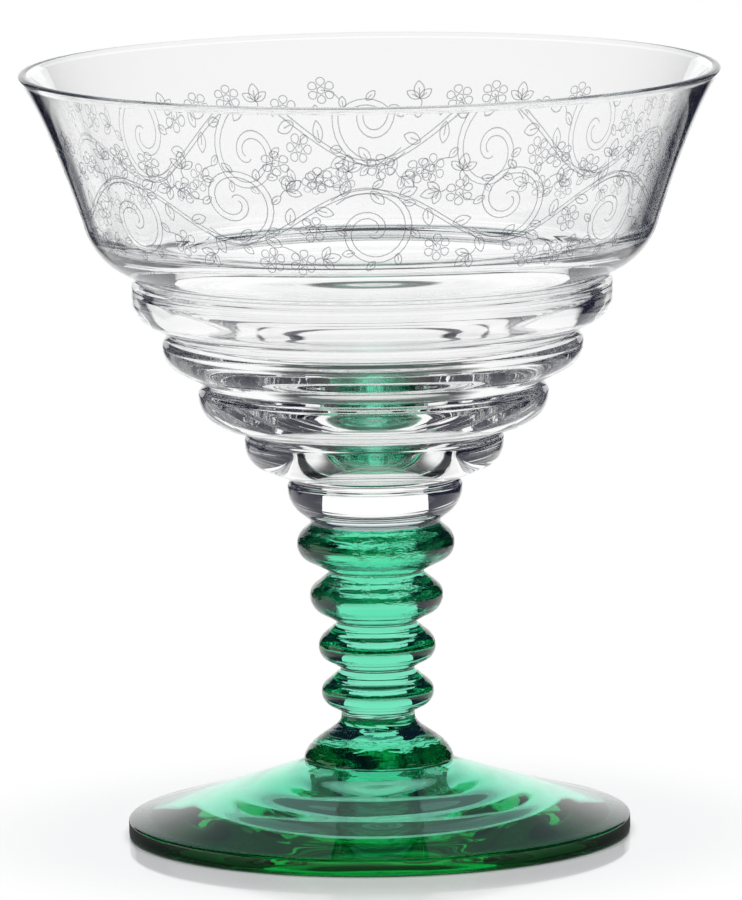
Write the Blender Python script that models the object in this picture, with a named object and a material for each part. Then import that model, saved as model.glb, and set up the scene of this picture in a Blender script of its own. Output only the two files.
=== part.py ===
"""Stemmed sherbet glass: a clear bowl with five outside steps, fused to a green ringed stem on a green foot.

Every piece is a solid of revolution about +Z. The foot rests on the plane Z = 0, centred on the origin.
Each outline starts on the axis inside the piece, goes up and over its top, and comes down its outer side.
"""
import math

import bmesh
import bpy
from mathutils import Vector

MM = 0.001

# Seams: the glass is fused hot, and the solids keep this much air in each seam.
SEAM = 0.3 * MM

# Foot: a low cone, thin at its edge, resting on a narrow flat ring around a hollow with a round crown.
FOOT_RADIUS = 37.1 * MM
FOOT_EDGE = 2.5 * MM
FOOT_EDGE_ROUND = 0.4 * MM
FOOT_HEEL_ROUND = 0.5 * MM
FOOT_SLOPE_AT_EDGE = 0.28
FOOT_SLOPE_AT_SEAT = 0.36
FOOT_SEAT_RADIUS = 11.1 * MM
FOOT_SEAT_HEIGHT = 10.7 * MM
REST_RING_WIDTH = 2.6 * MM
HOLLOW_DEPTH = 7.0 * MM
HOLLOW_SKIRT_RADIUS = 22.0 * MM
HOLLOW_SKIRT_RISE = 0.8 * MM
HOLLOW_CROWN = 9.5 * MM

# Stem: a bell on the foot, then four rings with narrow necks between them, getting wider to the bowl.
BELL_HEIGHT = 6.5 * MM
BELL_SWELL = 0.7 * MM
BELL_SWELL_RISE = 3.4 * MM
BELL_COVE = 2.1 * MM
BELL_LIP = 0.5 * MM
NECK_RADII = [5.45 * MM, 5.5 * MM, 6.0 * MM, 7.1 * MM]
NECK_LENGTHS = [0.75 * MM, 0.45 * MM, 0.45 * MM, 0.45 * MM]
RING_RADII = [8.3 * MM, 8.65 * MM, 9.85 * MM, 11.65 * MM]
RING_UNDERSIDES = [2.85 * MM, 3.0 * MM, 3.75 * MM, 3.9 * MM]
RING_TOPS = [3.3 * MM, 3.45 * MM, 3.35 * MM, 3.0 * MM]
SEAM_RADIUS = 9.65 * MM
SEAM_NECK = 0.4 * MM
RING_TOP_TILT = math.radians(50)
RING_UNDERSIDE_TILT = math.radians(64)

# Bowl, outside: steps from the stem upwards, each with a short wall and a round that tucks in under it.
STEP_RADII = [12.9 * MM, 19.1 * MM, 25.8 * MM, 31.0 * MM, 35.4 * MM]
STEP_RISES = [5.6 * MM, 7.0 * MM, 6.9 * MM, 7.4 * MM, 8.7 * MM]
STEP_WALLS = [0.4 * MM, 0.7 * MM, 0.3 * MM, 0.4 * MM, 2.0 * MM]
STEP_TILTS = [math.radians(a) for a in (54, 70, 74, 64, 64)]
STEP_CORNER = 0.3 * MM
GROOVE_DEPTHS = [0.6 * MM, 0.6 * MM, 1.0 * MM, 1.0 * MM, 1.0 * MM]
GROOVE_RISES = [0.9 * MM, 0.9 * MM, 1.5 * MM, 1.6 * MM, 1.4 * MM]

# Bowl, cup: a round shoulder over the top step, then a flaring wall that turns out to the lip.
CUP_HEIGHT = 31.0 * MM
SHOULDER_RADIUS = 42.0 * MM
SHOULDER_HEIGHT = 8.3 * MM
FLARE_RADIUS = 47.05 * MM
FLARE_HEIGHT = 24.2 * MM
RIM_RADIUS = 51.5 * MM

# Bowl, inside, from the lip down: the cup's even wall, an upright throat, two soft steps behind the upper ones
# outside, a funnel and a small round well. The glass under the well is solid.
LIP_WALL = 1.3 * MM
CUP_WALL = 2.0 * MM
THROAT_RADII = [31.2 * MM, 31.4 * MM]
THROAT_HEIGHTS = [39.4 * MM, 37.0 * MM]
INNER_STEP_RADII = [32.2 * MM, 31.2 * MM, 28.2 * MM, 27.8 * MM, 26.4 * MM]
INNER_STEP_HEIGHTS = [34.2 * MM, 32.0 * MM, 29.8 * MM, 27.2 * MM, 25.2 * MM]
FUNNEL_RADII = [22.6 * MM, 15.8 * MM]
FUNNEL_HEIGHTS = [23.0 * MM, 16.2 * MM]
WELL_RADII = [10.0 * MM, 6.6 * MM, 3.0 * MM]
WELL_HEIGHTS = [12.6 * MM, 9.2 * MM, 7.8 * MM]

# Polished glass
GLASS_ROUGHNESS = 0.02
GLASS_IOR = 1.52

# Facets, and how close two points of an outline may lie
TURN_STEPS = 40
ARC_STEPS = 3
CORNER_STEPS = 2
CURVE_STEPS = 6
SPAN_STEPS = 3
SAME_POINT = 0.01 * MM
SAME_VERTEX = 0.001 * MM


def line_up(*stretches):
    """Join stretches of points, dropping a point that repeats the one before it."""
    points = []
    for point in (Vector(p) for stretch in stretches for p in stretch):
        if not points or (point - points[-1]).length > SAME_POINT:
            points.append(point)
    return points


def curve(handles, steps):
    """Bezier curve through its first and last handle, of any degree."""
    points = []
    for i in range(steps + 1):
        row = [Vector(h) for h in handles]
        while len(row) > 1:
            row = [a.lerp(b, i / steps) for a, b in zip(row, row[1:])]
        points.append(row[0])
    return points


def through(points, steps):
    """Smooth curve through inner points; the first and last point only steer its ends."""
    line = []
    for before, start, end, after in zip(points, points[1:], points[2:], points[3:]):
        leave = (end - before) / 6
        arrive = (after - start) / 6
        line += curve([start, start + leave, end - arrive, end], steps)
    return line


def leaving_arc(start, direction, end, steps):
    """Circular arc that leaves start along direction and ends at end."""
    start, end = Vector(start), Vector(end)
    direction = Vector(direction).normalized()
    side = Vector((-direction.y, direction.x))
    chord = end - start
    radius = chord.length_squared / (2 * chord.dot(side))
    centre = start + side * radius
    turn = 2 * math.atan2(chord.dot(side), chord.dot(direction))
    points = []
    for i in range(steps + 1):
        angle = turn * i / steps
        points.append(centre + direction * (radius * math.sin(angle)) - side * (radius * math.cos(angle)))
    return points


def flank(crest, foot, tilt, steps):
    """Outline from a crest, where it runs straight up and down, by an arc and a straight run to its foot.

    The straight run leans in by tilt from the vertical. The arc's radius follows from the two ends.
    """
    crest, foot = Vector(crest), Vector(foot)
    inward = crest.x - foot.x
    drop = abs(crest.y - foot.y)
    way = math.copysign(1, foot.y - crest.y)
    radius = (drop * math.sin(tilt) - inward * math.cos(tilt)) / (1 - math.cos(tilt))
    points = []
    for i in range(steps + 1):
        angle = tilt * i / steps
        points.append(Vector((crest.x - radius * (1 - math.cos(angle)), crest.y + way * radius * math.sin(angle))))
    return points + [foot]


def rounded(corner, before, after, radius, steps):
    """Round off a corner between two neighbouring points."""
    corner = Vector(corner)
    start = corner + (Vector(before) - corner).normalized() * radius
    end = corner + (Vector(after) - corner).normalized() * radius
    return curve([start, corner, end], steps)


def glass(name, colour, transmission):
    """Polished glass of one colour."""
    material = bpy.data.materials.new(name)
    material.use_nodes = True
    shader = material.node_tree.nodes["Principled BSDF"]
    shader.inputs["Base Color"].default_value = (*colour, 1)
    shader.inputs["Roughness"].default_value = GLASS_ROUGHNESS
    shader.inputs["Metallic"].default_value = 0
    shader.inputs["IOR"].default_value = GLASS_IOR
    shader.inputs["Transmission Weight"].default_value = transmission
    material.diffuse_color = (*colour, 1)
    return material


def turned(name, outline, height, material):
    """Solid of revolution about Z from an outline of radius and height, standing at a height."""
    mesh = bpy.data.meshes.new(name)
    work = bmesh.new()
    verts = [work.verts.new((point.x, 0, point.y)) for point in outline]
    for a, b in zip(verts, verts[1:]):
        work.edges.new((a, b))
    work.to_mesh(mesh)
    work.free()
    mesh.materials.append(material)
    piece = bpy.data.objects.new(name, mesh)
    bpy.context.collection.objects.link(piece)
    piece.location.z = height
    screw = piece.modifiers.new("Turn", "SCREW")
    screw.axis = "Z"
    screw.steps = screw.render_steps = TURN_STEPS
    screw.use_merge_vertices = True
    screw.merge_threshold = SAME_VERTEX
    screw.use_smooth_shade = True
    return piece


def foot_outline():
    """Low cone with a flat seat for the stem, a rounded edge and a hollow underside."""
    seat = Vector((FOOT_SEAT_RADIUS, FOOT_SEAT_HEIGHT))
    edge_top = Vector((FOOT_RADIUS, FOOT_EDGE))
    edge_bottom = Vector((FOOT_RADIUS, 0))
    reach = (FOOT_RADIUS - FOOT_SEAT_RADIUS) / 3
    cone = curve([
        seat,
        seat + Vector((reach, -reach * FOOT_SLOPE_AT_SEAT)),
        edge_top + Vector((-reach, reach * FOOT_SLOPE_AT_EDGE)),
        edge_top,
    ], CURVE_STEPS)
    edge_round = min(FOOT_EDGE_ROUND, FOOT_EDGE / 2)
    heel_round = min(FOOT_HEEL_ROUND, FOOT_EDGE / 2)
    ring_inside = Vector((FOOT_RADIUS - heel_round - REST_RING_WIDTH, 0))
    skirt = Vector((HOLLOW_SKIRT_RADIUS, HOLLOW_SKIRT_RISE))
    hollow = curve([ring_inside, skirt, (HOLLOW_CROWN, HOLLOW_DEPTH), (0, HOLLOW_DEPTH)], 2 * CURVE_STEPS)
    return line_up(
        [(0, FOOT_SEAT_HEIGHT)],
        cone[:-1],
        rounded(edge_top, cone[-2], edge_bottom, edge_round, ARC_STEPS),
        rounded(edge_bottom, edge_top, ring_inside, heel_round, ARC_STEPS),
        hollow,
    )


def stem_outline():
    """Bell and rings, from the seam with the bowl down to the seat on the foot."""
    bell_edge = Vector((FOOT_SEAT_RADIUS, BELL_LIP))
    neck = Vector((NECK_RADII[0], BELL_HEIGHT))
    bell = curve([
        neck,
        neck - Vector((0, BELL_COVE)),
        bell_edge + Vector((-BELL_SWELL, BELL_SWELL_RISE)),
        bell_edge,
    ], CURVE_STEPS)
    base = Vector((FOOT_SEAT_RADIUS, 0))
    outline = bell[:-1] + rounded(base, bell_edge, (0, 0), BELL_LIP, ARC_STEPS) + [Vector((0, 0))]
    above = NECK_RADII[1:] + [SEAM_RADIUS]
    for neck_length, ring, underside, top, next_radius in zip(
            NECK_LENGTHS, RING_RADII, RING_UNDERSIDES, RING_TOPS, above):
        neck_top = neck + Vector((0, neck_length))
        crest = Vector((ring, neck_top.y + underside))
        next_neck = Vector((next_radius, crest.y + top))
        upper = flank(crest, next_neck, RING_TOP_TILT, ARC_STEPS)
        lower = flank(crest, neck_top, RING_UNDERSIDE_TILT, ARC_STEPS)
        outline = list(reversed(upper)) + lower + outline
        neck = next_neck
    return line_up([(0, neck.y)], outline), neck.y


def step_tops():
    """Heights of the steps' upper corners above the seam with the stem."""
    tops = []
    for rise in STEP_RISES:
        tops.append((tops[-1] if tops else 0) + rise)
    return tops


def grooves():
    """Bottoms of the grooves from the seam upwards: one above each step, where the next one starts."""
    points = [Vector((SEAM_RADIUS, SEAM_NECK))]
    for radius, top, depth, rise in zip(STEP_RADII, step_tops(), GROOVE_DEPTHS, GROOVE_RISES):
        points.append(Vector((radius - depth, top + rise)))
    return points


def flare():
    """Outer side of the cup from the lip down to its shoulder."""
    base = step_tops()[-1]
    return curve([
        (RIM_RADIUS, base + CUP_HEIGHT),
        (FLARE_RADIUS, base + FLARE_HEIGHT),
        (SHOULDER_RADIUS, base + SHOULDER_HEIGHT),
    ], CURVE_STEPS)


def bowl_outside():
    """Outer side of the bowl from the lip down to the seam with the stem."""
    tops = step_tops()
    bottoms = grooves()
    cup = flare()
    outline = cup + leaving_arc(cup[-1], cup[-1] - cup[-2], bottoms[-1], CURVE_STEPS)
    for i in reversed(range(len(tops))):
        corner = Vector((STEP_RADII[i], tops[i]))
        wall_foot = corner - Vector((0, STEP_WALLS[i]))
        outline += rounded(corner, bottoms[i + 1], wall_foot, min(STEP_CORNER, STEP_WALLS[i]), CORNER_STEPS)
        outline += flank(wall_foot, bottoms[i], STEP_TILTS[i], ARC_STEPS)
    return line_up(outline, [(SEAM_RADIUS, 0)])


def bowl_inside():
    """Inner side of the bowl from the lip down to the middle of its floor."""
    walls = [LIP_WALL + (CUP_WALL - LIP_WALL) * i / CURVE_STEPS for i in range(CURVE_STEPS + 1)]
    cup = [point - Vector((wall, 0)) for point, wall in zip(flare(), walls)]
    radii = THROAT_RADII + INNER_STEP_RADII + FUNNEL_RADII + WELL_RADII
    heights = THROAT_HEIGHTS + INNER_STEP_HEIGHTS + FUNNEL_HEIGHTS + WELL_HEIGHTS
    below = [Vector(point) for point in zip(radii, heights)]
    middle = Vector((0, heights[-1]))
    run = (cup[-1] - below[0]).length
    steer = cup[-1] + (cup[-2] - cup[-1]).normalized() * run
    return line_up(cup, through([steer, cup[-1], *below, middle], SPAN_STEPS), [middle])


def bowl_outline():
    """Closed bowl: floor, inner side, lip, outer side and the flat underside of its base."""
    inside = bowl_inside()
    outside = bowl_outside()
    lip_rise = Vector((0, LIP_WALL / 2))
    lip = curve([inside[0], inside[0] + lip_rise, outside[0] + lip_rise, outside[0]], ARC_STEPS)
    return line_up(reversed(inside), lip, outside, [(0, 0)])


for old in list(bpy.data.objects):
    bpy.data.objects.remove(old)

stem_shape, stem_height = stem_outline()
stem_base = FOOT_SEAT_HEIGHT + SEAM
turned("foot", foot_outline(), 0, glass("green_foot_glass", (0.02, 0.62, 0.36), 0.9))
turned("stem", stem_shape, stem_base, glass("green_stem_glass", (0.0, 0.45, 0.25), 0.9))
turned("bowl", bowl_outline(), stem_base + stem_height + SEAM, glass("clear_bowl_glass", (0.95, 0.97, 0.98), 1.0))
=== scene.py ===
import math

import bmesh
import bpy
from mathutils import Matrix, Vector
from mathutils.kdtree import KDTree


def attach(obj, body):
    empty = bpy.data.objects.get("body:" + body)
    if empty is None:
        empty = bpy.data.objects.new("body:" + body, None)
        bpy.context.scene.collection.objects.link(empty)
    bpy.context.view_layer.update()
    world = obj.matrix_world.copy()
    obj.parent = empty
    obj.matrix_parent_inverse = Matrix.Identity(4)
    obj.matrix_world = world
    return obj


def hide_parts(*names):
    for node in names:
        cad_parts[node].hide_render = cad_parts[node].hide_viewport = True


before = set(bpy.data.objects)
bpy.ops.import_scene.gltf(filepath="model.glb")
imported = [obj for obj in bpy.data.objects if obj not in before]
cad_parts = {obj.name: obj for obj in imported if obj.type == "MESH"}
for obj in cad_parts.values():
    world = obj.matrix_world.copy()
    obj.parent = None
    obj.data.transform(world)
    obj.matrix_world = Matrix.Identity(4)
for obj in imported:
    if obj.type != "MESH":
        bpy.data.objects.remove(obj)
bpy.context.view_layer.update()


# FOOT
# The real foot is a disc of green glass, pressed to a low cone while hot and spun, so soft waves
# run round its top. Its underside is hollow, and it stands on a narrow ring that wears dull.
MM = 0.001
FOOT_RADIUS = 37.1 * MM
FOOT_EDGE = 2.5 * MM
FOOT_EDGE_ROUND = 0.4 * MM
FOOT_HEEL_ROUND = 0.5 * MM
FOOT_SLOPE_AT_EDGE = 0.28
FOOT_SLOPE_AT_SEAT = 0.36
FOOT_SEAT_RADIUS = 11.1 * MM
FOOT_SEAT_HEIGHT = 10.7 * MM
REST_RING_WIDTH = 2.6 * MM
HOLLOW_DEPTH = 7.0 * MM
HOLLOW_SKIRT_RADIUS = 22.0 * MM
HOLLOW_SKIRT_RISE = 0.8 * MM
HOLLOW_CROWN = 9.5 * MM
TURN_STEPS = 192
ROUND_STEPS = 10
CURVE_STEPS = 24
SAME_POINT = 0.004 * MM
GREEN = (0.0, 0.86, 0.62, 1)
GREEN_DEPTH = 110
GLASS_IOR = 1.52
SKIN_DETAIL = 1.5
SKIN_GRAIN = 0.45
SPIN_SCALE = 55.0
SPIN_WAVE = 7.0 * MM
SPIN_DEPTH = 0.10 * MM
SPIN_FULL_TO = 24 * MM
SPIN_GONE_AT = 30 * MM
WEAR_NONE_AT = 0.12 * MM
WEAR_FULL_AT = 0.02 * MM
SCRATCH_SCALE = 900.0


def line_up(*stretches):
    """Join stretches of points, dropping a point that repeats the one before it."""
    points = []
    for point in (Vector(p) for stretch in stretches for p in stretch):
        if not points or (point - points[-1]).length > SAME_POINT:
            points.append(point)
    return points


def curve(handles, steps):
    """Bezier curve through its first and last handle, of any degree."""
    points = []
    for i in range(steps + 1):
        row = [Vector(h) for h in handles]
        while len(row) > 1:
            row = [a.lerp(b, i / steps) for a, b in zip(row, row[1:])]
        points.append(row[0])
    return points


def rounded(corner, before, after, radius):
    """Round off a corner between two neighbouring points."""
    corner = Vector(corner)
    start = corner + (Vector(before) - corner).normalized() * radius
    end = corner + (Vector(after) - corner).normalized() * radius
    return curve([start, corner, end], ROUND_STEPS)


def turned(name, outline, height, material):
    """Closed solid of revolution about +Z.

    The outline of radius and height starts and ends on the axis.
    """
    work = bmesh.new()
    rings = []
    for point in outline:
        turns = TURN_STEPS if point.x > SAME_POINT else 1
        angles = [math.tau * i / turns for i in range(turns)]
        rings.append([
            work.verts.new((point.x * math.cos(a), point.x * math.sin(a), point.y + height))
            for a in angles])
    for low, high in zip(rings, rings[1:]):
        for i in range(TURN_STEPS):
            after = (i + 1) % TURN_STEPS
            corners = [low[i % len(low)], low[after % len(low)],
                       high[after % len(high)], high[i % len(high)]]
            work.faces.new(list(dict.fromkeys(corners))).smooth = True
    bmesh.ops.recalc_face_normals(work, faces=work.faces)
    mesh = bpy.data.meshes.new(name)
    work.to_mesh(mesh)
    work.free()
    mesh.materials.append(material)
    piece = bpy.data.objects.new(name, mesh)
    bpy.context.collection.objects.link(piece)
    return piece


class Wire:
    """One output of a node; arithmetic on it adds Math nodes to the same tree."""

    def __init__(self, finish, socket):
        self.finish = finish
        self.socket = socket

    def maths(self, operation, *values):
        return self.finish.node("ShaderNodeMath", {"operation": operation}, dict(enumerate(values)))

    def __add__(self, other):
        return self.maths("ADD", self, other)

    def __sub__(self, other):
        return self.maths("SUBTRACT", self, other)

    def __rsub__(self, other):
        return self.maths("SUBTRACT", other, self)

    def __mul__(self, other):
        return self.maths("MULTIPLY", self, other)

    __radd__ = __add__
    __rmul__ = __mul__

    def __abs__(self):
        return self.maths("ABSOLUTE", self)

    def sine(self):
        return self.maths("SINE", self)

    def either(self, other):
        """The larger of two values."""
        return self.maths("MAXIMUM", self, other)

    def step(self, start, end):
        """0 at start and 1 at end, eased in between."""
        return self.finish.node("ShaderNodeMapRange", {"interpolation_type": "SMOOTHSTEP"},
                                {"Value": self, "From Min": start, "From Max": end})


class Finish:
    """The node tree of a material or of the world."""

    def __init__(self, owner):
        owner.use_nodes = True
        self.owner = owner
        self.tree = owner.node_tree
        self.tree.nodes.clear()

    def node(self, kind, settings=None, sockets=None, output=0):
        made = self.tree.nodes.new(kind)
        for key, value in (settings or {}).items():
            setattr(made, key, value)
        for key, value in (sockets or {}).items():
            if isinstance(value, Wire):
                self.tree.links.new(value.socket, made.inputs[key])
            else:
                made.inputs[key].default_value = value
        return Wire(self, made.outputs[output]) if made.outputs else made


def cast_glass(name, normal, roughness, colour=None, depth=0):
    """Solid glass that absorbs to a colour; two functions on the finish make its skin."""
    finish = Finish(bpy.data.materials.new(name))
    sockets = {"Base Color": (1, 1, 1, 1), "IOR": GLASS_IOR, "Transmission Weight": 1.0,
               "Roughness": roughness(finish), "Normal": normal(finish)}
    ends = {"Surface": finish.node("ShaderNodeBsdfPrincipled", None, sockets)}
    if colour:
        ends["Volume"] = finish.node("ShaderNodeVolumeAbsorption", None,
                                     {"Color": colour, "Density": depth})
    finish.node("ShaderNodeOutputMaterial", None, ends)
    finish.owner.diffuse_color = colour or (1, 1, 1, 1)
    return finish.owner


def place(finish, stretch):
    """Position in the glass, stretched along its axes before a texture reads it."""
    point = finish.node("ShaderNodeTexCoord", output="Object")
    return finish.node("ShaderNodeVectorMath", {"operation": "MULTIPLY"}, {0: point, 1: stretch})


def height_on_glass(finish):
    """Height above the table."""
    point = finish.node("ShaderNodeTexCoord", output="Object")
    return finish.node("ShaderNodeSeparateXYZ", None, {"Vector": point}, output="Z")


def unevenness(finish, stretch, scale, detail=2.0, grain=0.5, distortion=0.0):
    """Soft random pattern from 0 to 1."""
    return finish.node("ShaderNodeTexNoise", None, {
        "Vector": place(finish, stretch), "Scale": scale, "Detail": detail, "Roughness": grain,
        "Distortion": distortion})


def raised(finish, rise, depth):
    """Normal of a skin raised by a pattern, as many metres as depth says."""
    return finish.node("ShaderNodeBump", None, {"Height": rise, "Distance": depth})


def spun_skin(finish):
    """Soft unevenness over wide waves round the seat, left by spinning the hot foot."""
    swell = unevenness(finish, (1, 1, 1), SPIN_SCALE, SKIN_DETAIL, SKIN_GRAIN)
    radius = finish.node("ShaderNodeVectorMath", {"operation": "LENGTH"},
                         {0: place(finish, (1, 1, 0))}, output="Value")
    wave = (radius * (math.tau / SPIN_WAVE) + 0.8 * swell).sine()
    fading = radius.step(SPIN_GONE_AT, SPIN_FULL_TO) * (0.6 + 0.4 * swell.step(0.35, 0.6))
    return raised(finish, 0.4 * swell + 0.4 * wave * fading, SPIN_DEPTH)


def worn_ring(finish):
    """Polished, apart from the ring that it stands on."""
    scratches = unevenness(finish, (1, 1, 1), SCRATCH_SCALE, detail=4.0)
    return height_on_glass(finish).step(WEAR_NONE_AT, WEAR_FULL_AT) * (0.1 + 0.35 * scratches)


foot_seat = Vector((FOOT_SEAT_RADIUS, FOOT_SEAT_HEIGHT))
foot_edge_top = Vector((FOOT_RADIUS, FOOT_EDGE))
foot_edge_bottom = Vector((FOOT_RADIUS, 0))
foot_reach = (FOOT_RADIUS - FOOT_SEAT_RADIUS) / 3
foot_cone = curve([
    foot_seat,
    foot_seat + Vector((foot_reach, -foot_reach * FOOT_SLOPE_AT_SEAT)),
    foot_edge_top + Vector((-foot_reach, foot_reach * FOOT_SLOPE_AT_EDGE)),
    foot_edge_top,
], CURVE_STEPS)
ring_inside = Vector((FOOT_RADIUS - FOOT_HEEL_ROUND - REST_RING_WIDTH, 0))
hollow = curve([
    ring_inside,
    (HOLLOW_SKIRT_RADIUS, HOLLOW_SKIRT_RISE),
    (HOLLOW_CROWN, HOLLOW_DEPTH),
    (0, HOLLOW_DEPTH),
], 2 * CURVE_STEPS)
foot_outline = line_up(
    [(0, FOOT_SEAT_HEIGHT)],
    foot_cone[:-1],
    rounded(foot_edge_top, foot_cone[-2], foot_edge_bottom, FOOT_EDGE_ROUND),
    rounded(foot_edge_bottom, foot_edge_top, ring_inside, FOOT_HEEL_ROUND),
    hollow,
)
foot_glass = cast_glass("green_foot_glass", spun_skin, worn_ring, GREEN, GREEN_DEPTH)
foot = turned("foot_glass", foot_outline, 0, foot_glass)
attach(foot, "root")
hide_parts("foot")


# STEM
# The real stem is a second gather of green glass, pinched into four rings above a bell while hot.
# It is stuck hot to the foot, and the cool tools leave chill marks round the rings and the bell.
SEAM = 0.3 * MM
FUSED = 0.01 * MM
STEM_BASE = FOOT_SEAT_HEIGHT + SEAM
STEM_RISE = (SEAM + FUSED) / 2
SEAT_SINK = 0.28 * MM
BELL_HEIGHT = 6.5 * MM
BELL_SWELL = 0.7 * MM
BELL_SWELL_RISE = 3.4 * MM
BELL_COVE = 2.1 * MM
BELL_LIP = 0.15 * MM
NECK_RADII = [5.45 * MM, 5.5 * MM, 6.0 * MM, 7.1 * MM]
NECK_LENGTHS = [0.75 * MM, 0.45 * MM, 0.45 * MM, 0.45 * MM]
RING_RADII = [8.3 * MM, 8.65 * MM, 9.85 * MM, 11.65 * MM]
RING_UNDERSIDES = [2.85 * MM, 3.0 * MM, 3.75 * MM, 3.9 * MM]
RING_TOPS = [3.3 * MM, 3.45 * MM, 3.35 * MM, 3.0 * MM]
RING_TOP_TILT = math.radians(50)
RING_UNDERSIDE_TILT = math.radians(64)
SEAM_RADIUS = 9.65 * MM
BELL_TOP = STEM_BASE + BELL_HEIGHT
CHILLED_FROM = 32.0 * MM
CHILL_FADE = 1.0 * MM
CHILL_DEPTH = 0.5 * MM
FOLD_SCALE = 750.0
WRINKLE_SCALE = 1600.0
PATCH_SCALE = 130.0
SMEAR_SCALE = 70.0


def flank(crest, foot, tilt):
    """Outline from an upright crest, by an arc and a straight run, to its foot."""
    crest, foot = Vector(crest), Vector(foot)
    inward = crest.x - foot.x
    drop = abs(crest.y - foot.y)
    way = math.copysign(1, foot.y - crest.y)
    radius = (drop * math.sin(tilt) - inward * math.cos(tilt)) / (1 - math.cos(tilt))
    points = []
    for i in range(ROUND_STEPS + 1):
        angle = tilt * i / ROUND_STEPS
        points.append(Vector((crest.x - radius * (1 - math.cos(angle)),
                              crest.y + way * radius * math.sin(angle))))
    return points + [foot]


def chill_marks(finish):
    """Marks of the cool tools: long folds round the bell, fine wrinkles on the two upper rings."""
    height = height_on_glass(finish)
    folds = unevenness(finish, (0.14, 0.14, 1), FOLD_SCALE, distortion=0.5)
    wrinkles = unevenness(finish, (0.35, 0.35, 1), WRINKLE_SCALE, detail=3.0, distortion=0.8)
    patches = unevenness(finish, (1, 1, 0.6), PATCH_SCALE)
    on_bell = height.step(BELL_TOP + CHILL_FADE, BELL_TOP)
    on_rings = height.step(CHILLED_FROM - CHILL_FADE, CHILLED_FROM)
    marked = 0.24 * wrinkles * patches.step(0.40, 0.60) * (0.15 + on_rings)
    return raised(finish, folds * on_bell + marked, CHILL_DEPTH)


def polished(finish):
    """A faint greasy variation on a polished skin."""
    return 0.012 * unevenness(finish, (1, 1, 1), SMEAR_SCALE).step(0.55, 0.8)


stem_neck = Vector((NECK_RADII[0], BELL_HEIGHT))
bell_edge = Vector((FOOT_SEAT_RADIUS, BELL_LIP))
bell = curve([
    stem_neck,
    stem_neck - Vector((0, BELL_COVE)),
    bell_edge + Vector((-BELL_SWELL, BELL_SWELL_RISE)),
    bell_edge,
], CURVE_STEPS)
bell_base = Vector((FOOT_SEAT_RADIUS, 0))
stem_outline = bell[:-1] + rounded(bell_base, bell_edge, (0, 0), BELL_LIP)
stem_outline += [Vector((stem_outline[-1].x, -SEAT_SINK)), Vector((0, -SEAT_SINK))]
for neck_length, ring, underside, top, next_radius in zip(
        NECK_LENGTHS, RING_RADII, RING_UNDERSIDES, RING_TOPS, NECK_RADII[1:] + [SEAM_RADIUS]):
    neck_top = stem_neck + Vector((0, neck_length))
    ring_crest = Vector((ring, neck_top.y + underside))
    stem_neck = Vector((next_radius, ring_crest.y + top))
    upper = flank(ring_crest, stem_neck, RING_TOP_TILT)
    lower = flank(ring_crest, neck_top, RING_UNDERSIDE_TILT)
    stem_outline = list(reversed(upper)) + lower + stem_outline
stem_top = stem_neck + Vector((0, STEM_RISE))
stem_outline = line_up([(0, stem_top.y), stem_top], stem_outline)
stem_glass = cast_glass("green_stem_glass", chill_marks, polished, GREEN, GREEN_DEPTH)
stem = turned("stem_glass", stem_outline, STEM_BASE, stem_glass)
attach(stem, "root")
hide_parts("stem")


# BOWL
# The real bowl is blown of clear glass in a mould that gives it five rounded steps outside, and
# its lip is cut and fire-polished. It is stuck hot to the stem, whose green shows through its
# solid base.
BOWL_BASE = STEM_BASE + stem_neck.y + SEAM
BOWL_SINK = SEAM / 2 + FUSED
SEAM_NECK = 0.4 * MM
STEP_RADII = [12.9 * MM, 19.1 * MM, 25.8 * MM, 31.0 * MM, 35.4 * MM]
STEP_RISES = [5.6 * MM, 7.0 * MM, 6.9 * MM, 7.4 * MM, 8.7 * MM]
STEP_WALLS = [0.4 * MM, 0.7 * MM, 0.3 * MM, 0.4 * MM, 2.0 * MM]
STEP_TILTS = [math.radians(a) for a in (54, 70, 74, 64, 64)]
STEP_CORNER = 0.3 * MM
GROOVE_DEPTHS = [0.6 * MM, 0.6 * MM, 1.0 * MM, 1.0 * MM, 1.0 * MM]
GROOVE_RISES = [0.9 * MM, 0.9 * MM, 1.5 * MM, 1.6 * MM, 1.4 * MM]
CUP_HEIGHT = 31.0 * MM
SHOULDER_RADIUS = 42.0 * MM
SHOULDER_HEIGHT = 8.3 * MM
FLARE_RADIUS = 47.05 * MM
FLARE_HEIGHT = 24.2 * MM
RIM_RADIUS = 51.5 * MM
LIP_WALL = 1.3 * MM
LIP_RISE = 0.57 * MM
CUP_WALL = 2.0 * MM
THROAT_RADII = [31.2 * MM, 31.4 * MM]
THROAT_HEIGHTS = [39.4 * MM, 37.0 * MM]
INNER_STEP_RADII = [32.2 * MM, 31.2 * MM, 28.2 * MM, 27.8 * MM, 26.4 * MM]
INNER_STEP_HEIGHTS = [34.2 * MM, 32.0 * MM, 29.8 * MM, 27.2 * MM, 25.2 * MM]
FUNNEL_RADII = [22.6 * MM, 15.8 * MM]
FUNNEL_HEIGHTS = [23.0 * MM, 16.2 * MM]
WELL_RADII = [10.0 * MM, 6.6 * MM, 3.0 * MM]
WELL_HEIGHTS = [12.6 * MM, 9.2 * MM, 7.8 * MM]
SPAN_STEPS = 10
RIPPLE_SCALE = 45.0
RIPPLE_DEPTH = 0.05 * MM


def through(points, steps):
    """Smooth curve through inner points; the first and last point only steer its ends."""
    line = []
    for before, start, end, after in zip(points, points[1:], points[2:], points[3:]):
        leave = (end - before) / 6
        arrive = (after - start) / 6
        line += curve([start, start + leave, end - arrive, end], steps)
    return line


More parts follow.
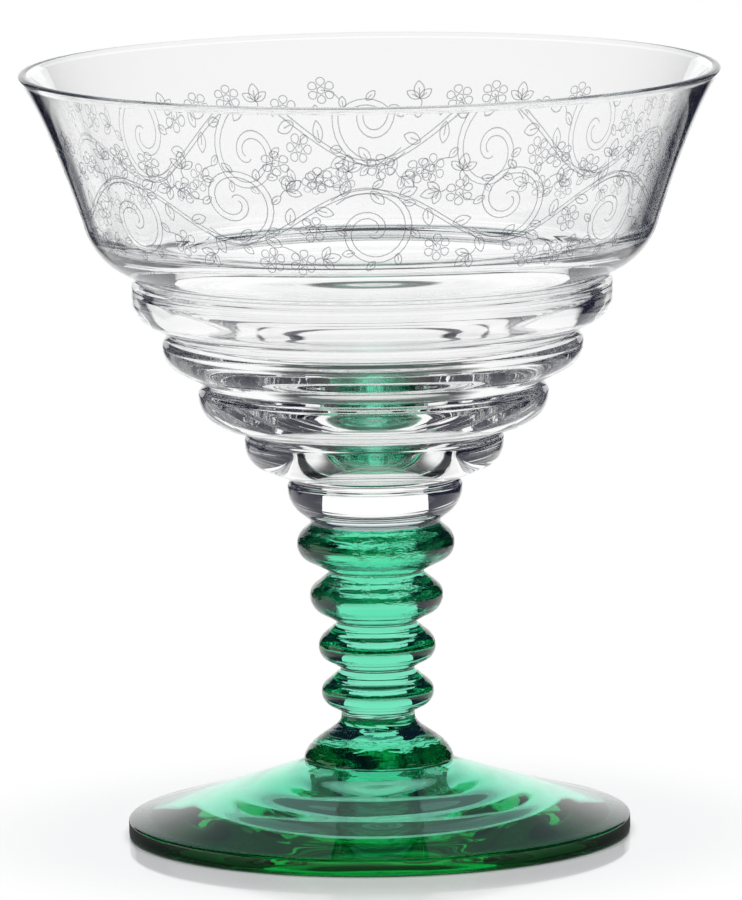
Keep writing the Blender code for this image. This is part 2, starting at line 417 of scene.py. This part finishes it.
def leaving_arc(start, direction, end, steps):
    """Circular arc that leaves start along direction and ends at end."""
    direction = direction.normalized()
    side = Vector((-direction.y, direction.x))
    chord = end - start
    radius = chord.length_squared / (2 * chord.dot(side))
    centre = start + side * radius
    turn = 2 * math.atan2(chord.dot(side), chord.dot(direction))
    points = []
    for i in range(steps + 1):
        angle = turn * i / steps
        points.append(centre + direction * (radius * math.sin(angle))
                      - side * (radius * math.cos(angle)))
    return points


def fire_polish(finish):
    """Soft unevenness of the blown wall."""
    swell = unevenness(finish, (1, 1, 0.5), RIPPLE_SCALE, SKIN_DETAIL, SKIN_GRAIN)
    return raised(finish, swell, RIPPLE_DEPTH)


step_tops = [sum(STEP_RISES[:i + 1]) for i in range(len(STEP_RISES))]
grooves = [Vector((SEAM_RADIUS, SEAM_NECK))]
grooves += [Vector((radius - depth, top + rise))
            for radius, top, depth, rise in zip(STEP_RADII, step_tops, GROOVE_DEPTHS, GROOVE_RISES)]
cup_outside = curve([
    (RIM_RADIUS, step_tops[-1] + CUP_HEIGHT),
    (FLARE_RADIUS, step_tops[-1] + FLARE_HEIGHT),
    (SHOULDER_RADIUS, step_tops[-1] + SHOULDER_HEIGHT),
], CURVE_STEPS)
shoulder = leaving_arc(cup_outside[-1], cup_outside[-1] - cup_outside[-2], grooves[-1], CURVE_STEPS)
bowl_outside = cup_outside + shoulder
for i in reversed(range(len(step_tops))):
    corner = Vector((STEP_RADII[i], step_tops[i]))
    wall_foot = corner - Vector((0, STEP_WALLS[i]))
    bowl_outside += rounded(corner, grooves[i + 1], wall_foot, min(STEP_CORNER, STEP_WALLS[i]))
    bowl_outside += flank(wall_foot, grooves[i], STEP_TILTS[i])
bowl_outside += [Vector((SEAM_RADIUS, -BOWL_SINK))]
cup_inside = [point - Vector((LIP_WALL + (CUP_WALL - LIP_WALL) * i / CURVE_STEPS, 0))
              for i, point in enumerate(cup_outside)]
below_cup = [Vector(point) for point in zip(
    THROAT_RADII + INNER_STEP_RADII + FUNNEL_RADII + WELL_RADII,
    THROAT_HEIGHTS + INNER_STEP_HEIGHTS + FUNNEL_HEIGHTS + WELL_HEIGHTS)]
floor_middle = Vector((0, WELL_HEIGHTS[-1]))
inside_run = (cup_inside[-1] - below_cup[0]).length
inside_steer = cup_inside[-1] + (cup_inside[-2] - cup_inside[-1]).normalized() * inside_run
bowl_inside = cup_inside + through(
    [inside_steer, cup_inside[-1], *below_cup, floor_middle], SPAN_STEPS)
lip_rise = Vector((0, LIP_RISE))
lip = curve([
    cup_inside[0],
    cup_inside[0] + lip_rise,
    cup_outside[0] + lip_rise,
    cup_outside[0],
], ROUND_STEPS)
bowl_outline = line_up(
    [floor_middle], reversed(bowl_inside), lip, bowl_outside, [(0, -BOWL_SINK)])
bowl_glass = cast_glass("clear_bowl_glass", fire_polish, polished)
bowl = turned("bowl_glass", bowl_outline, BOWL_BASE, bowl_glass)
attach(bowl, "root")
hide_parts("bowl")
bowl.visible_shadow = False


# ETCHED BAND
# The real band is drawn by acid through a wax print: fine matt lines, only a few hundredths of a
# millimetre deep, round the outside of the cup. Here they are a running vine with coils, daisies,
# leaves and berries.
BAND_LINE = 0.18 * MM
BAND_LIFT = 0.02 * MM
BAND_REPEATS = 7
BAND_RADIUS = 45.0 * MM
BAND_FOOT = 2.0 * MM
BAND_HEIGHT = 21.0 * MM
VINE_MIDDLE = 9.8 * MM
VINE_SWING = 4.2 * MM
VINE_HALF_WIDTH = 0.3 * MM
VINE_STEPS = 60
VINE_LEAVES = 10
VINE_LEAF_LEAN = 0.85
COIL_OFFSET = 2.2 * MM
COIL_SPRINGS_BEFORE = 0.14
COIL_STEPS = 26
COIL_WINDS_IN = 0.9
COIL_LEAVES = 7
COIL_LEAF_SHARE = 0.7
LEAF_LENGTH = 2.8 * MM
LEAF_SWELL = 0.36
DAISY_RADIUS = 2.2 * MM
PETALS = 6
PETAL_SWELL = 0.58
BERRY_RADIUS = 0.5 * MM
LOOP_STEPS = 12
DAISY_ROOM = (2.7 * MM, 6.0 * MM)
SPRAY_ROOM = (1.9 * MM, 4.0 * MM)
BERRY_ROOM = (1.6 * MM, 3.0 * MM)
FILL_TRIES = 1500
FILL_STRIDES = (0.7549, 0.5698)
STALK_BOW = 0.25
STALK_TUCK = 0.3
BITE_SCALE = 2500.0
# Both greys of the lines are painted shade: far darker than white matt glass, they stand for the
# backlight that the lines scatter away.
FROST_PAINTED_SHADE_DARK = (0.22, 0.24, 0.28, 1)
FROST_PAINTED_SHADE_PALE = (0.42, 0.44, 0.48, 1)
FROST_COVER = 0.55

unit = math.tau * BAND_RADIUS / BAND_REPEATS
etched_lines = []


def heading(angle, length):
    """Flat vector of a length at an angle."""
    return Vector((math.cos(angle), math.sin(angle))) * length


def coil(centre, radius, start, turns, way):
    """Spiral that winds in to its centre."""
    count = int(COIL_STEPS * turns)
    return [centre + heading(start + way * math.tau * turns * i / count,
                             radius * (1 - COIL_WINDS_IN * i / count))
            for i in range(count + 1)]


def loop(centre, radius):
    """Small circle."""
    return [centre + heading(math.tau * i / LOOP_STEPS, radius) for i in range(LOOP_STEPS + 1)]


def leaf(root, angle, length):
    """Pointed leaf with a midrib."""
    along = heading(angle, length)
    for side in (math.pi / 2, -math.pi / 2):
        across = heading(angle + side, LEAF_SWELL * length)
        etched_lines.append(curve([
            root,
            root + along * 0.25 + across,
            root + along * 0.7 + across,
            root + along,
        ], 8))
    etched_lines.append([root + along * 0.15, root + along * 0.62])


def daisy(centre, angle, radius):
    """Round flower with petals about an eye."""
    etched_lines.append(loop(centre, radius * 0.25))
    for i in range(PETALS):
        along = heading(angle + math.tau * i / PETALS, radius)
        across = Vector((-along.y, along.x)) * PETAL_SWELL
        root = centre + along * 0.32
        tip = centre + along * 1.15
        etched_lines.append(curve([
            root,
            root + along * 0.3 + across,
            tip + across * 0.6,
            tip - across * 0.6,
            root + along * 0.3 - across,
            root,
        ], 10))


def spray(root, angle, length):
    """Leaf at the end of a stalk between two smaller ones."""
    for turn, share in ((0, 1.0), (0.95, 0.8), (-0.95, 0.8)):
        leaf(root, angle + turn, length * share)


def berries(root, angle, radius):
    """Three berries at the end of a stalk."""
    for turn in (0, 1.1, -1.1):
        etched_lines.append(loop(root + heading(angle + turn, radius * 1.5), radius))


def fill(motif, size, gap, reach):
    """Grow a motif on a stalk from the nearest line, wherever one of its size still has room."""
    lines = [point for line in etched_lines for point in line]
    drawn = KDTree(3 * len(lines))
    for i, point in enumerate(lines):
        for k in (-1, 0, 1):
            drawn.insert((point.x + k * unit, point.y, 0), 3 * i + k + 1)
    drawn.balance()
    taken = []
    for i in range(FILL_TRIES):
        spot = Vector((unit * (FILL_STRIDES[0] * i % 1),
                       size + (BAND_HEIGHT - 2 * size) * (FILL_STRIDES[1] * i % 1)))
        near, _, room = drawn.find(spot.to_3d())
        apart = [(spot - other - Vector((k * unit, 0))).length
                 for other in taken for k in (-1, 0, 1)]
        if gap < room < reach and min(apart, default=reach) > 2 * gap:
            taken.append(spot)
            start = near.to_2d()
            angle = math.atan2(spot.y - start.y, spot.x - start.x)
            bow = heading(angle + math.pi / 2, STALK_BOW * room)
            tip = spot - heading(angle, STALK_TUCK * size)
            etched_lines.append(curve([start, start.lerp(spot, 0.5) + bow, tip], 6))
            motif(tip, angle, size)


def vine(share):
    """Point of the vine and its direction, at a share of one repeat."""
    turn = math.tau * share
    slope = VINE_SWING * math.tau / unit * math.cos(turn)
    return Vector((unit * share, VINE_MIDDLE + VINE_SWING * math.sin(turn))), math.atan(slope)


for side in (VINE_HALF_WIDTH, -VINE_HALF_WIDTH):
    stalk = [vine(i / VINE_STEPS) for i in range(VINE_STEPS + 1)]
    etched_lines.append([point + heading(way + math.pi / 2, side) for point, way in stalk])
for share, way in ((0.25, -1), (0.75, 1)):
    eye = Vector((unit * share, VINE_MIDDLE + way * COIL_OFFSET))
    spring = vine(share - COIL_SPRINGS_BEFORE)[0] - eye
    spring_angle = math.atan2(spring.y, spring.x)
    for inset, turns in ((1.0, 1.7), (0.88, 1.45)):
        etched_lines.append(coil(eye, spring.length * inset, spring_angle, turns, way))
    for i in range(COIL_LEAVES):
        angle = spring_angle + way * (0.9 + 0.75 * i)
        root = eye + heading(angle, spring.length * (0.92 - 0.07 * i))
        leaf(root, angle + way * 0.8, LEAF_LENGTH * COIL_LEAF_SHARE)
for i in range(VINE_LEAVES):
    point, way = vine((i + 0.5) / VINE_LEAVES)
    leaf(point, way + (VINE_LEAF_LEAN if i % 2 else -VINE_LEAF_LEAN), LEAF_LENGTH)
fill(daisy, DAISY_RADIUS, *DAISY_ROOM)
fill(spray, LEAF_LENGTH, *SPRAY_ROOM)
fill(berries, BERRY_RADIUS, *BERRY_ROOM)

wall_line = list(reversed(cup_outside + shoulder[:CURVE_STEPS // 2]))
wall_runs = [0.0]
for a, b in zip(wall_line, wall_line[1:]):
    wall_runs.append(wall_runs[-1] + (b - a).length)


def on_cup(flat):
    """Point of the cup's outer side for a flat point of the band."""
    run = min(max(flat.y + BAND_FOOT, 0), wall_runs[-2])
    i = next(k for k in range(len(wall_runs) - 1) if wall_runs[k + 1] >= run)
    start, end = wall_line[i], wall_line[i + 1]
    point = start.lerp(end, (run - wall_runs[i]) / (wall_runs[i + 1] - wall_runs[i]))
    point += Vector((end.y - start.y, start.x - end.x)).normalized() * BAND_LIFT
    angle = flat.x / BAND_RADIUS
    return Vector((point.x * math.cos(angle), point.x * math.sin(angle), BOWL_BASE + point.y))


band_work = bmesh.new()
for repeat in range(BAND_REPEATS):
    along_band = Vector((repeat * unit, 0))
    for line in etched_lines:
        previous = None
        for i, point in enumerate(line):
            way = (line[min(i + 1, len(line) - 1)] - line[max(i - 1, 0)]).normalized()
            across = Vector((-way.y, way.x)) * (BAND_LINE / 2)
            pair = [band_work.verts.new(on_cup(along_band + point + across * side))
                    for side in (1, -1)]
            if previous:
                corners = (previous[0], previous[1], pair[1], pair[0])
                band_work.faces.new(corners).smooth = True
            previous = pair
band_mesh = bpy.data.meshes.new("etched_band")
band_work.to_mesh(band_mesh)
band_work.free()
etched = Finish(bpy.data.materials.new("etched_matt_glass"))
bite = unevenness(etched, (1, 1, 1), BITE_SCALE)
# The grey is painted shade of the matt lines; the bite varies its tone at random, as acid bites
# unevenly.
frost_painted_shade = etched.node("ShaderNodeMix", {"data_type": "RGBA"}, {
    "Factor": bite.step(0.35, 0.7), "A": FROST_PAINTED_SHADE_DARK, "B": FROST_PAINTED_SHADE_PALE}, output="Result")
matt = etched.node("ShaderNodeBsdfPrincipled", None, {
    "Base Color": frost_painted_shade, "Roughness": 0.8, "Alpha": FROST_COVER, "Specular IOR Level": 0.2})
etched.node("ShaderNodeOutputMaterial", None, {"Surface": matt})
band_mesh.materials.append(etched.owner)
band = bpy.data.objects.new("etched_band", band_mesh)
bpy.context.collection.objects.link(band)
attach(band, "root")


# STUDIO
# The glass stands on a glossy white floor. Through the glass, white strips run away from it and the
# rest of the floor is dark, which draws its edges dark. A lamp overhead lights the floor, and white
# panels behind, above and beside the glass give it its sheen.
FLOOR_SIZE = 9.0
FLOOR_DROP = 0.05 * MM
FLOOR_COLOUR = (0.96, 0.96, 0.96, 1)
FLOOR_ROUGHNESS = 0.07
SHADE_NEAR = 0.042
SHADE_FAR = 0.072
# Seen through the glass or in reflections, the floor nearer than this is a painted shadow of the
# foot: a dull grey glow.
PAINTED_SHADOW_FADE_FROM = 0.04
PAINTED_SHADOW_GONE_AT = 0.06
STRIPS = [
    # turn, half width, spread and reach
    (math.radians(0), 0.06, 0.15, 4.4),
    (math.radians(-45), 0.04, 0.0, 0.4),
    (math.radians(135), 0.05, 0.1, 0.65),
    (math.radians(-90), 0.06, 0.1, 4.4),
]
POOL_RADIUS = 0.2
SOFT_EDGE = 0.05
BACK_DISTANCE = 1.2
BACK_HALF = math.radians(28)
BACK_TOP = math.radians(52)
DIM_FROM = BACK_DISTANCE * math.tan(math.radians(8))
DIM_TO = BACK_DISTANCE * math.tan(math.radians(34))
SIDE_SIZE = (1.2, 0.4)
SIDE_MIDDLE = (-1.5, 0, 0.2)
TOP_SIZE = (1.0, 1.1)
TOP_MIDDLE = (0, 0.85, 1.0)
LAMP_SIZE = 1.2
LAMP_WATTS = 15.5
LAMP_MIDDLE = (0, 0.1, 1.2)
WHITE = (1, 1, 1, 1)
ROOM = (0.012, 0.012, 0.03, 1)
FOOT_SHADE = (0.1, 0.1, 0.1, 1)
PANEL_LOW = (1.1, 1.1, 1.1, 1)
PANEL_HIGH = (0.2, 0.3, 0.3, 1)


def sheet(name, size, middle, turn, material):
    """Flat panel of the studio, not a part of the glass."""
    work = bmesh.new()
    bmesh.ops.create_grid(work, x_segments=1, y_segments=1, size=0.5)
    mesh = bpy.data.meshes.new(name)
    work.to_mesh(mesh)
    work.free()
    mesh.materials.append(material)
    panel = bpy.data.objects.new(name, mesh)
    panel.scale = (*size, 1)
    panel.location = middle
    panel.rotation_euler = turn
    bpy.context.collection.objects.link(panel)
    return panel


def hide_from(thing, *rays):
    """Keep a panel or lamp out of the sight of some kinds of rays."""
    for ray in rays:
        setattr(thing, "visible_" + ray, False)


def glow(finish, colour):
    """Even light of one colour."""
    return finish.node("ShaderNodeEmission", None, {"Color": colour})


def mixed(finish, factor, first, second):
    """Two shaders mixed by a factor."""
    return finish.node("ShaderNodeMixShader", None, {0: factor, 1: first, 2: second})


white_sheet = Finish(bpy.data.materials.new("white_sheet"))
spot = white_sheet.node("ShaderNodeNewGeometry", output="Position")
away = white_sheet.node("ShaderNodeVectorMath", {"operation": "LENGTH"}, {0: spot}, output="Value")
camera_ray = white_sheet.node("ShaderNodeLightPath", output="Is Camera Ray")
glossy_ray = white_sheet.node("ShaderNodeLightPath", output="Is Glossy Ray")
glass_ray = white_sheet.node("ShaderNodeLightPath", output="Is Transmission Ray")
seen = camera_ray.either(glossy_ray).either(glass_ray)
on_sheet = away.step(POOL_RADIUS + SOFT_EDGE, POOL_RADIUS)
for turn, half_width, spread, reach in STRIPS:
    flat = white_sheet.node("ShaderNodeVectorRotate", {"rotation_type": "Z_AXIS"},
                            {"Vector": spot, "Angle": turn})
    across_strip = white_sheet.node("ShaderNodeSeparateXYZ", None, {"Vector": flat}, output="X")
    along_strip = white_sheet.node("ShaderNodeSeparateXYZ", None, {"Vector": flat}, output="Y")
    strip = (abs(across_strip) - spread * along_strip).step(half_width + SOFT_EDGE, half_width)
    strip = strip * along_strip.step(0, SOFT_EDGE) * along_strip.step(reach + SOFT_EDGE, reach)
    on_sheet = on_sheet.either(strip)
white_gloss = white_sheet.node("ShaderNodeBsdfPrincipled", None, {
    "Base Color": FLOOR_COLOUR, "Roughness": FLOOR_ROUGHNESS, "IOR": 1.5})
paper = mixed(white_sheet, camera_ray.either(on_sheet),
              glow(white_sheet, ROOM), glow(white_sheet, WHITE))
# To the camera the floor near the foot is lit gloss. Through the glass and in reflections it is a
# painted shadow, a dull grey glow.
gloss_or_painted_shadow = mixed(white_sheet, seen - camera_ray, white_gloss, glow(white_sheet, FOOT_SHADE))
beyond = camera_ray * away.step(SHADE_NEAR, SHADE_FAR)
beyond = beyond + (seen - camera_ray) * away.step(PAINTED_SHADOW_FADE_FROM, PAINTED_SHADOW_GONE_AT)
white_sheet.node("ShaderNodeOutputMaterial", None, {
    "Surface": mixed(white_sheet, beyond, gloss_or_painted_shadow, paper)})
sheet("white_floor", (FLOOR_SIZE, FLOOR_SIZE), (0, 0, -FLOOR_DROP), (0, 0, 0), white_sheet.owner)

back_light = Finish(bpy.data.materials.new("back_light"))
panel_spot = back_light.node("ShaderNodeNewGeometry", output="Position")
panel_height = back_light.node("ShaderNodeSeparateXYZ", None, {"Vector": panel_spot}, output="Z")
panel_colour = back_light.node("ShaderNodeMix", {"data_type": "RGBA"}, {
    "Factor": panel_height.step(DIM_FROM, DIM_TO), "A": PANEL_LOW, "B": PANEL_HIGH},
    output="Result")
back_light.node("ShaderNodeOutputMaterial", None, {"Surface": glow(back_light, panel_colour)})
back_width = 2 * BACK_DISTANCE * math.tan(BACK_HALF)
back_height = BACK_DISTANCE * math.tan(BACK_TOP)
sheet("back_panel", (back_width, back_height), (0, BACK_DISTANCE, back_height / 2),
      (math.pi / 2, 0, 0), back_light.owner)

plain_light = Finish(bpy.data.materials.new("plain_light"))
plain_light.node("ShaderNodeOutputMaterial", None, {"Surface": glow(plain_light, WHITE)})
side_panel = sheet("side_panel", SIDE_SIZE, SIDE_MIDDLE, (math.pi / 2, 0, math.pi / 2),
                   plain_light.owner)
hide_from(side_panel, "camera", "transmission", "diffuse", "shadow")
top_panel = sheet("top_panel", TOP_SIZE, TOP_MIDDLE, (0, 0, 0), plain_light.owner)
hide_from(top_panel, "camera", "glossy", "diffuse", "shadow")

room = Finish(bpy.data.worlds.new("dark_room"))
room_seen = room.node("ShaderNodeLightPath", output="Is Camera Ray")
room_colour = room.node("ShaderNodeMix", {"data_type": "RGBA"}, {
    "Factor": room_seen, "A": ROOM, "B": WHITE}, output="Result")
room_light = room.node("ShaderNodeBackground", None, {"Color": room_colour})
room.node("ShaderNodeOutputWorld", None, {"Surface": room_light})
bpy.context.scene.world = room.owner

lamp = bpy.data.lights.new("floor_lamp", "AREA")
lamp.shape = "RECTANGLE"
lamp.size = lamp.size_y = LAMP_SIZE
lamp.energy = LAMP_WATTS
floor_lamp = bpy.data.objects.new("floor_lamp", lamp)
floor_lamp.location = LAMP_MIDDLE
hide_from(floor_lamp, "glossy", "transmission")
bpy.context.collection.objects.link(floor_lamp)


# CAMERA
# A long lens in front of the glass, above its lip and tilted down. Its place follows from the
# ellipses of the lip and the foot in the photograph.
IMAGE_WIDTH, IMAGE_HEIGHT = 742, 900
LENS_PIXELS = 10363
AXIS_PIXEL = 374.5
CAMERA_PLACE = (0, -1.5106, 0.27788)
CAMERA_DIP = math.radians(8.32)
CAMERA_ROLL = math.radians(-0.8)
LIGHT_BOUNCES = 64
CLEAR_BOUNCES = 40

camera_data = bpy.data.cameras.new("camera")
camera_data.sensor_width = 36
camera_data.lens = LENS_PIXELS / IMAGE_HEIGHT * camera_data.sensor_width
camera_data.shift_x = (IMAGE_WIDTH / 2 - AXIS_PIXEL) / IMAGE_HEIGHT
camera_data.clip_end = 100
camera = bpy.data.objects.new("camera", camera_data)
camera.matrix_world = (Matrix.Translation(CAMERA_PLACE)
                       @ Matrix.Rotation(math.pi / 2 - CAMERA_DIP, 4, "X")
                       @ Matrix.Rotation(CAMERA_ROLL, 4, "Z"))
bpy.context.collection.objects.link(camera)
scene = bpy.context.scene
scene.camera = camera
scene.view_settings.view_transform = "Standard"
scene.cycles.max_bounces = LIGHT_BOUNCES
scene.cycles.transmission_bounces = LIGHT_BOUNCES
scene.cycles.glossy_bounces = LIGHT_BOUNCES
scene.cycles.transparent_max_bounces = CLEAR_BOUNCES
scene.cycles.use_denoising = True
